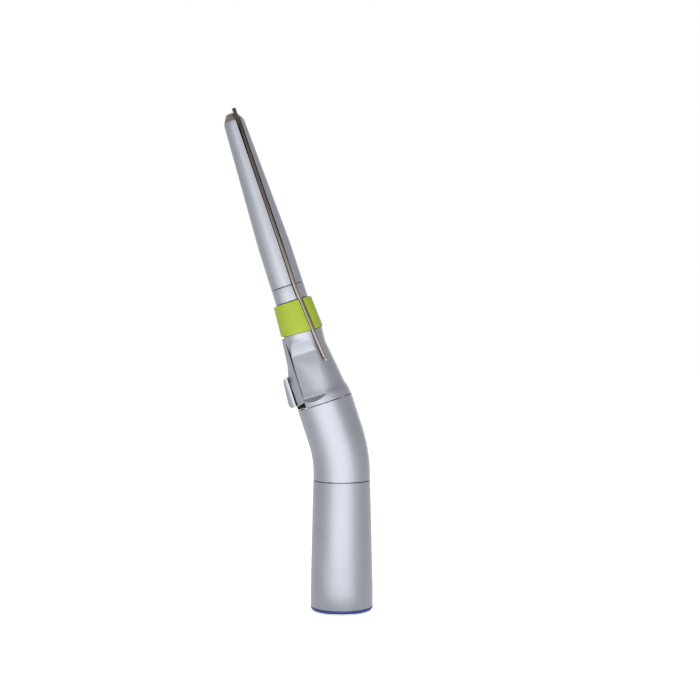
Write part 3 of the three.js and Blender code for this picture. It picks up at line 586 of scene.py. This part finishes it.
def motor_seal():
    low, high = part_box("motor_seal")
    bm = bmesh.new()
    wire = (high.z - low.z) / 2
    middle = high.x - wire
    turn = Matrix.Translation((middle, 0, (low.z + high.z) / 2)) @ Matrix.Rotation(math.pi / 2, 4, "X")
    bmesh.ops.create_circle(bm, segments=16, radius=wire, matrix=turn)
    bmesh.ops.spin(bm, geom=bm.verts[:] + bm.edges[:], cent=(0, 0, 0), axis=(0, 0, 1), angle=full_turn,
                   steps=inner_steps, use_merge=True, use_duplicate=False)
    finished("motor_seal_smooth", bm, Matrix.Identity(4), rubber_and_painted_shade, "seal_rubber", "handle", "motor_seal")


def bend_sleeve():
    """A circle that rises, turns about the bend's centre and runs on straight to the neck."""
    bm = bmesh.new()
    place = Matrix.Translation((0, 0, bend_start))
    bmesh.ops.create_circle(bm, segments=shell_steps, radius=bend_tube_radius, matrix=place)
    edges = bm.edges[:]
    grown = bmesh.ops.extrude_edge_only(bm, edges=edges)
    verts = [item for item in grown["geom"] if isinstance(item, bmesh.types.BMVert)]
    edges = [item for item in grown["geom"] if isinstance(item, bmesh.types.BMEdge)]
    bmesh.ops.translate(bm, vec=(0, 0, bend_low_straight), verts=verts)
    centre = (-bend_radius, 0, bend_start + bend_low_straight)
    turned = bmesh.ops.spin(bm, geom=verts + edges, cent=centre, axis=(0, -1, 0), angle=bend_angle,
                            steps=bend_steps, use_duplicate=False)
    edges = [item for item in turned["geom_last"] if isinstance(item, bmesh.types.BMEdge)]
    grown = bmesh.ops.extrude_edge_only(bm, edges=edges)
    verts = [item for item in grown["geom"] if isinstance(item, bmesh.types.BMVert)]
    along = nose_turn @ Vector((0, 0, bend_high_straight))
    bmesh.ops.translate(bm, vec=along, verts=verts)
    piece = finished("bend_sleeve_smooth", bm, Matrix.Identity(4), satin, "satin_metal", "handle", "bend_sleeve")
    wall = piece.modifiers.new("wall", "SOLIDIFY")
    wall.thickness = bend_wall
    wall.offset = -1
    soften(piece, rear_edge)


# Pieces of the nose
def around_nose(place):
    along, out, turn = place
    return Vector((out * math.sin(turn), -out * math.cos(turn), along))


def tube_path(reach):
    """The tube's path: a quadratic bend from its cut end to the collar, then straight to the tip."""
    start, control, seam, tip = (around_nose(place) for place in (tube_end, tube_under_clip, tube_seam, tube_tip))
    stations = []
    for step in range(tube_bend_steps + 1):
        share = step / tube_bend_steps
        stations.append((1 - share) ** 2 * start + 2 * share * (1 - share) * control + share ** 2 * seam)
    stations.append(tip)
    if reach:
        stations[0] = stations[0] + (stations[0] - stations[1]).normalized() * reach
        stations[-1] = tip + (tip - seam).normalized() * reach
    return stations


def groove_cutter():
    half = groove_half_width
    depth = 2 * half + overrun
    floor_steps = 10
    section = [(depth, half), (depth, -half)]
    for step in range(floor_steps + 1):
        turn = -math.pi / 2 - math.pi * step / floor_steps
        section.append((half * math.cos(turn), half * math.sin(turn)))
    return helper("groove_cutter", swept(section, tube_path(half)), nose_place)


def seat_block(inner_radius, low, high):
    """A block along the slanted face where the clip ring meets the housing, lowest beside the tube."""
    lowest = Vector((math.sin(seat_turn), -math.cos(seat_turn), 0))
    tilt = Matrix.Rotation(seat_tilt, 4, Vector((0, 0, 1)).cross(lowest))
    points = [(inner_radius, low), (seat_radius, low), (seat_radius, high), (inner_radius, high)]
    return helper("seat_block", revolved(points, inner_steps),
                  nose_place @ Matrix.Translation((0, 0, seat_middle)) @ tilt)


def thumb_cutters():
    """Two blocks whose inner faces are the thumb flats: a ramp, a long flat and a scooped arch."""
    start, shoulder, end = Vector(thumb_deepest), Vector(thumb_shoulder), Vector(thumb_top)
    points = [(thumb_outside, thumb_start[1]), thumb_start, thumb_low, thumb_deepest]
    for step in range(1, arc_steps + 1):
        share = step / arc_steps
        points.append(tuple((1 - share) ** 2 * start + 2 * share * (1 - share) * shoulder + share ** 2 * end))
    points.append((thumb_outside, thumb_top[1]))
    cutters = []
    for turn in (-math.pi / 2 - thumb_turn, math.pi / 2 + thumb_turn):
        place = nose_place @ Matrix.Rotation(turn, 4, "Z")
        cutters.append(helper("thumb_cutter", slab(points, thumb_width), place))
    return cutters


def lever_housing():
    points = curved(mm_points(housing_profile))
    points += [
        (housing_front_radius, housing_length + seat_reach), (housing_spigot_radius, housing_length + seat_reach),
        (housing_spigot_radius, housing_spigot_end), (housing_throat, housing_spigot_end),
        (housing_throat, housing_bore_end), (housing_bore, housing_bore_end), (housing_bore, housing_seat_end),
        (housing_seat, housing_seat_end), (housing_seat, seam_gap),
    ]
    piece = finished("lever_housing_smooth", revolved(points, shell_steps, housing_edge), nose_place, satin,
                     "satin_metal", "handle", "lever_housing")
    sweep = finger_reach + finger_thickness
    shapes = [
        ("flat", box(-thumb_outside, -lever_flat, 2 * thumb_outside, -overrun, housing_length)),
        ("pocket", cross_bar(pivot_barrel_radius + pocket_gap, pivot_barrel_width + 2 * pocket_side, -pivot_out,
                             pivot_along, inner_steps)),
        ("top_pocket", box(-top_pocket_outer, -top_pocket_inner, top_pocket_width, pivot_along,
                           housing_length + seat_reach)),
        ("slot", box(-pivot_out, -pivot_out + sweep, finger_width + 2 * pocket_side, pivot_along - sweep,
                     pivot_along + finger_thickness)),
    ]
    cutters = [helper(name, bm, nose_place) for name, bm in shapes]
    above_seat = seat_block(seat_bore, -fit_gap, overrun)
    combine(piece, "DIFFERENCE", cutters + thumb_cutters() + [above_seat, groove_cutter()], cut_edge)


def pad_outline():
    """The pad's side view: two round ends of different radii, joined by their common tangents."""
    run = Vector((pad_low[0] - pad_high[0], pad_high[1] - pad_low[1]))
    heading = math.atan2(run.y, run.x)
    lean = math.acos((pad_low_radius - pad_high_radius) / run.length)
    points = []
    ends = ((pad_low, pad_low_radius, heading + lean, full_turn - 2 * lean),
            (pad_high, pad_high_radius, heading - lean, 2 * lean))
    for (out, along), radius, start, sweep in ends:
        for step in range(arc_steps + 1):
            turn = start + sweep * step / arc_steps
            points.append((-out + radius * math.cos(turn), along + radius * math.sin(turn)))
    return points


def pad_roundness():
    """An upright bar of oval section, which the pad is cut to, so that it turns away on both sides."""
    bm = bmesh.new()
    oval = Matrix.Diagonal((pad_thickness, pad_width / 2, 1, 1))
    bmesh.ops.create_cone(bm, cap_ends=True, segments=inner_steps, radius1=1, radius2=1, depth=2 * lever_top,
                          matrix=Matrix.Translation((-pad_inner, 0, 0)) @ oval)
    return bm


def lever_side_cutters():
    """Two blocks whose inner faces are the lever's slanting sides, flush with the housing beside them."""
    points = [(lever_side_low, 0), (lever_side_high, lever_side_top), (2 * thumb_outside, lever_side_top),
              (2 * thumb_outside, 0)]
    turns = (-math.pi / 2 - lever_side_turn, math.pi / 2 + lever_side_turn)
    return [helper("side_cutter", slab(points, 2 * thumb_outside), nose_place @ Matrix.Rotation(turn, 4, "Z"))
            for turn in turns]


def release_lever():
    """A barrel on its pin, a plate over the housing's flat, a finger that reaches inside, and a raised pad."""
    contour = curved(mm_points(lever_contour))
    outline = [(-lever_inner, lever_end_inner), (-lever_end_radius, lever_end)]
    outline += [(-out, along) for out, along in contour] + [(-lever_inner, lever_top)]
    piece = finished("release_lever_smooth", slab(outline, lever_width), nose_place, satin, "satin_metal",
                     "lever", "release_lever")
    profile = [(0, 0), (pad_inner + lever_roundness, 0)]
    profile += [(out + lever_roundness, along) for out, along in contour] + [(0, lever_top)]
    combine(piece, "INTERSECT", [helper("roundness", revolved(profile, shell_steps), nose_place)])
    combine(piece, "DIFFERENCE", lever_side_cutters())
    pad = helper("pad", slab(pad_outline(), pad_width), nose_place)
    combine(pad, "INTERSECT", [
        helper("pad_space", box(-thumb_outside - overrun, -pad_inner, lever_width, 0, lever_top), nose_place),
        helper("pad_roundness", pad_roundness(), nose_place),
    ])
    barrel = helper("barrel", cross_bar(pivot_barrel_radius, pivot_barrel_width, -pivot_out, pivot_along,
                                        inner_steps), nose_place)
    shell = [(0, 0), (barrel_reach, 0), (barrel_reach, housing_length), (0, housing_length)]
    combine(barrel, "INTERSECT", [helper("barrel_space", revolved(shell, inner_steps), nose_place)])
    finger_end = -pivot_out + finger_reach
    half = finger_thickness / 2
    shapes = [
        ("finger", box(-pivot_out, finger_end, finger_width, pivot_along - half, pivot_along + half)),
        ("finger_tip", cross_bar(half, finger_width, finger_end, pivot_along, inner_steps)),
        ("web", box(-pad_inner - fit_gap, -web_inner, web_width, web_low, web_top)),
    ]
    combine(piece, "UNION", [helper(name, bm, nose_place) for name, bm in shapes] + [barrel, pad], lever_edge)


def lever_stop_painted_shade():
    """A near-black wedge on the housing's base, just under the lever's slanted end: painted shade standing in for the
    dark cavity there.
    """
    slope = (lever_end_inner - lever_end) / (lever_end_radius - lever_inner)
    low_side = lever_end - shade_wedge_clearance + slope * (lever_end_radius - shade_wedge_outside)
    high_side = lever_end_inner - shade_wedge_clearance
    points = [(-lever_flat, shade_wedge_low), (-lever_flat, high_side), (-shade_wedge_outside, low_side), (-shade_wedge_outside, shade_wedge_low)]
    finished("lever_stop_painted_shade", slab(points, shade_wedge_width), nose_place, rubber_and_painted_shade, "seal_rubber", "handle")


def lever_pin():
    pin = cross_bar(pin_radius, pin_length, -pivot_out, pivot_along, inner_steps)
    finished("lever_pin_smooth", pin, nose_place, polished, "polished_steel", "handle", "lever_pin")


def clip_ring():
    points = [
        (clip_bore, clip_start - overrun), (clip_rear_radius, clip_start - overrun),
        (clip_rear_radius, clip_start), (clip_front_radius, clip_end),
        (clip_bore, clip_end),
    ]
    piece = finished("clip_ring_smooth", revolved(points, shell_steps, clip_edge), nose_place, green,
                     "green_plastic", "spray_clip", "clip_ring")
    below_seat = seat_block(0, -2 * overrun, fit_gap)
    combine(piece, "DIFFERENCE", [below_seat, groove_cutter()], cut_edge)


def spray_tube():
    turns = [full_turn * i / tube_sides for i in range(tube_sides)]
    section = [(tube_radius * math.cos(turn), tube_radius * math.sin(turn)) for turn in turns]
    piece = finished("spray_tube_smooth", swept(section, tube_path(0), capped=False), nose_place, tube_steel,
                     "tube_steel", "spray_clip", "spray_tube")
    wall = piece.modifiers.new("wall", "SOLIDIFY")
    wall.thickness = tube_wall
    wall.offset = -1


def nose_collar():
    points = [
        (collar_bore, collar_start - collar_spigot_length), (collar_spigot_radius, collar_start - collar_spigot_length),
        (collar_spigot_radius, collar_start), (housing_spigot_radius, collar_start),
        (housing_spigot_radius, nose_start), (collar_spigot_radius, nose_start),
        (collar_spigot_radius, nose_start + collar_spigot_length), (collar_bore, nose_start + collar_spigot_length),
    ]
    piece = finished("nose_collar_smooth", revolved(points, shell_steps, small_edge), nose_place, satin,
                     "satin_metal", "handle", "nose_collar")
    combine(piece, "DIFFERENCE", [groove_cutter()])


def nose_sleeve():
    low = nose_start + seam_gap
    rounding_steps = 8
    rounding = []
    for step in range(rounding_steps + 1):
        turn = math.pi / 2 * step / rounding_steps
        drop = (nose_front_radius - nose_mouth_radius) * (1 - math.cos(turn))
        rounding.append((nose_front_radius - drop, nose_end - nose_rounding + nose_rounding * math.sin(turn)))
    hole = collar_spigot_radius + fit_gap
    hole_end = low + collar_spigot_length
    points = [(hole, low), (nose_rear_radius - small_edge, low), (nose_rear_radius, low + small_edge),
              (nose_straight_radius, nose_straight_end), *rounding, (nose_tip_bore, nose_end),
              (nose_tip_bore, nose_middle_end), (nose_middle_bore, nose_middle_end),
              (nose_middle_bore, nose_bore_end), (nose_bore, nose_bore_end), (nose_bore, hole_end),
              (hole, hole_end)]
    piece = finished("nose_sleeve_smooth", revolved(points, shell_steps), nose_place, satin,
                     "satin_metal", "handle", "nose_sleeve")
    combine(piece, "DIFFERENCE", [groove_cutter()])


def nose_cap():
    spigot_start = cap_start - cap_spigot_length
    points = [
        (cap_bore, spigot_start), (cap_spigot_radius, spigot_start), (cap_spigot_radius, cap_start),
        (cap_rim_radius, cap_start), (cap_rim_radius, cap_start + fit_gap), (cap_face_radius, cap_end),
        (cap_bore, cap_end),
    ]
    # The cap's darker steel is painted shade taken from its chamfer in shadow.
    piece = finished("nose_cap_smooth", revolved(points, shell_steps, small_edge), nose_place, dark_steel,
                     "dark_steel", "handle", "nose_cap")
    combine(piece, "DIFFERENCE", [groove_cutter()])


for make in (rear_sleeve, rear_lip_ring, ratio_ring, socket_liner, motor_seal, bend_sleeve, lever_housing,
             release_lever, lever_stop_painted_shade, lever_pin, clip_ring, spray_tube, nose_collar, nose_sleeve, nose_cap):
    make()

# Finishes of the nodes that stay
slot_materials = {
    "satin_metal": satin, "polished_steel": polished, "tube_steel": tube_steel, "dark_steel": dark_steel,
    "bearing_brass": brass, "blue_ring": blue, "green_plastic": green, "seal_rubber": rubber_and_painted_shade,
}
node_slots = {row["node"]: row["material_slot"] for row in frame["record"]["subparts"]}
for name, node in frame["nodes"].items():
    node.data.materials.clear()
    node.data.materials.append(slot_materials[node_slots[name]])


# Floor, background and light
def seen_directly(tree):
    """A value of 1 for rays from the camera, from gloss and from glass, and 0 for the light that others carry."""
    nodes, links = tree.nodes, tree.links
    path = nodes.new("ShaderNodeLightPath")
    first = nodes.new("ShaderNodeMath")
    first.operation = "MAXIMUM"
    links.new(path.outputs["Is Camera Ray"], first.inputs[0])
    links.new(path.outputs["Is Glossy Ray"], first.inputs[1])
    seen = nodes.new("ShaderNodeMath")
    seen.operation = "MAXIMUM"
    links.new(first.outputs["Value"], seen.inputs[0])
    links.new(path.outputs["Is Transmission Ray"], seen.inputs[1])
    return seen.outputs["Value"]


def floor():
    material = bpy.data.materials.new("floor_white")
    material.use_nodes = True
    nodes, links = material.node_tree.nodes, material.node_tree.links
    nodes.clear()
    output = nodes.new("ShaderNodeOutputMaterial")
    diffuse = nodes.new("ShaderNodeBsdfDiffuse")
    diffuse.inputs["Color"].default_value = (floor_white, floor_white, floor_white, 1)
    glow = nodes.new("ShaderNodeEmission")
    seen = seen_directly(material.node_tree)
    scaled = nodes.new("ShaderNodeMath")
    scaled.operation = "MULTIPLY"
    scaled.inputs[1].default_value = floor_glow
    links.new(seen, scaled.inputs[0])
    links.new(scaled.outputs["Value"], glow.inputs["Strength"])
    total = nodes.new("ShaderNodeAddShader")
    links.new(diffuse.outputs["BSDF"], total.inputs[0])
    links.new(glow.outputs["Emission"], total.inputs[1])
    links.new(total.outputs["Shader"], output.inputs["Surface"])
    bm = bmesh.new()
    bmesh.ops.create_circle(bm, cap_ends=True, segments=inner_steps, radius=floor_radius)
    mesh = bpy.data.meshes.new("floor")
    bm.to_mesh(mesh)
    bm.free()
    mesh.materials.append(material)
    plane = bpy.data.objects.new("floor", mesh)
    plane.location.z = -floor_drop
    bpy.context.scene.collection.objects.link(plane)


floor_white = 0.8
floor_glow = 0.8
floor_radius = 3.0
floor_drop = 0.05 * mm
world_grey = 0.4
white_until = 0.55
ceiling_from = 0.9
ceiling_grey = 0.55


def world():
    scene_world = bpy.data.worlds.new("studio")
    bpy.context.scene.world = scene_world
    scene_world.use_nodes = True
    nodes, links = scene_world.node_tree.nodes, scene_world.node_tree.links
    background = nodes["Background"]
    background.inputs["Color"].default_value = (1, 1, 1, 1)
    seen = seen_directly(scene_world.node_tree)
    direction = nodes.new("ShaderNodeSeparateXYZ")
    links.new(nodes.new("ShaderNodeTexCoord").outputs["Generated"], direction.inputs["Vector"])
    height = nodes.new("ShaderNodeMapRange")
    height.inputs["From Min"].default_value = white_until
    height.inputs["From Max"].default_value = ceiling_from
    height.inputs["To Min"].default_value = 1
    height.inputs["To Max"].default_value = ceiling_grey
    links.new(direction.outputs["Z"], height.inputs["Value"])
    strength = nodes.new("ShaderNodeMapRange")
    strength.inputs["To Min"].default_value = world_grey
    links.new(height.outputs["Result"], strength.inputs["To Max"])
    links.new(seen, strength.inputs["Value"])
    links.new(strength.outputs["Result"], background.inputs["Strength"])


def area_light(name, place, target, size, power):
    data = bpy.data.lights.new(name, "AREA")
    data.shape = "RECTANGLE"
    data.size = size[0]
    data.size_y = size[1]
    data.energy = power
    lamp = bpy.data.objects.new(name, data)
    bpy.context.scene.collection.objects.link(lamp)
    lamp.location = place
    lamp.rotation_euler = (Vector(target) - Vector(place)).to_track_quat("-Z", "Y").to_euler()


# Camera, from places measured on the photograph
camera_place = Vector((-0.7 * mm, -380 * mm, 86.6 * mm))
camera_yaw = -0.0089
camera_pitch = -0.0076
focal_pixels = 1177.7
frame_pixels = 700
sensor_width = 36


def camera():
    data = bpy.data.cameras.new("camera")
    data.sensor_width = sensor_width
    data.lens = sensor_width * focal_pixels / frame_pixels
    data.clip_start = 0.01
    eye = bpy.data.objects.new("camera", data)
    eye.location = camera_place
    eye.rotation_euler = (math.pi / 2 + camera_pitch, 0, camera_yaw)
    bpy.context.scene.collection.objects.link(eye)
    bpy.context.scene.camera = eye


floor()
world()
middle = (-10 * mm, 0, 80 * mm)
area_light("front", (0.02, -0.75, 0.085), (0, 0, 0.085), (1.2, 0.17), 1.85)
area_light("front_high", (0, -0.75, 0.45), middle, (1.2, 0.5), 1.6)
area_light("back", (0, 0.75, 0.12), (0, 0, 0.085), (1.0, 0.3), 1.3)
area_light("low_front", (0, -0.36, 0.002), (0, -0.36, 1), (0.9, 0.5), 2.85)
area_light("low_near", (-0.02, -0.065, 0.002), (-0.02, -0.065, 1), (0.1, 0.09), 0.035)
camera()
bpy.context.scene.view_settings.view_transform = "Standard"
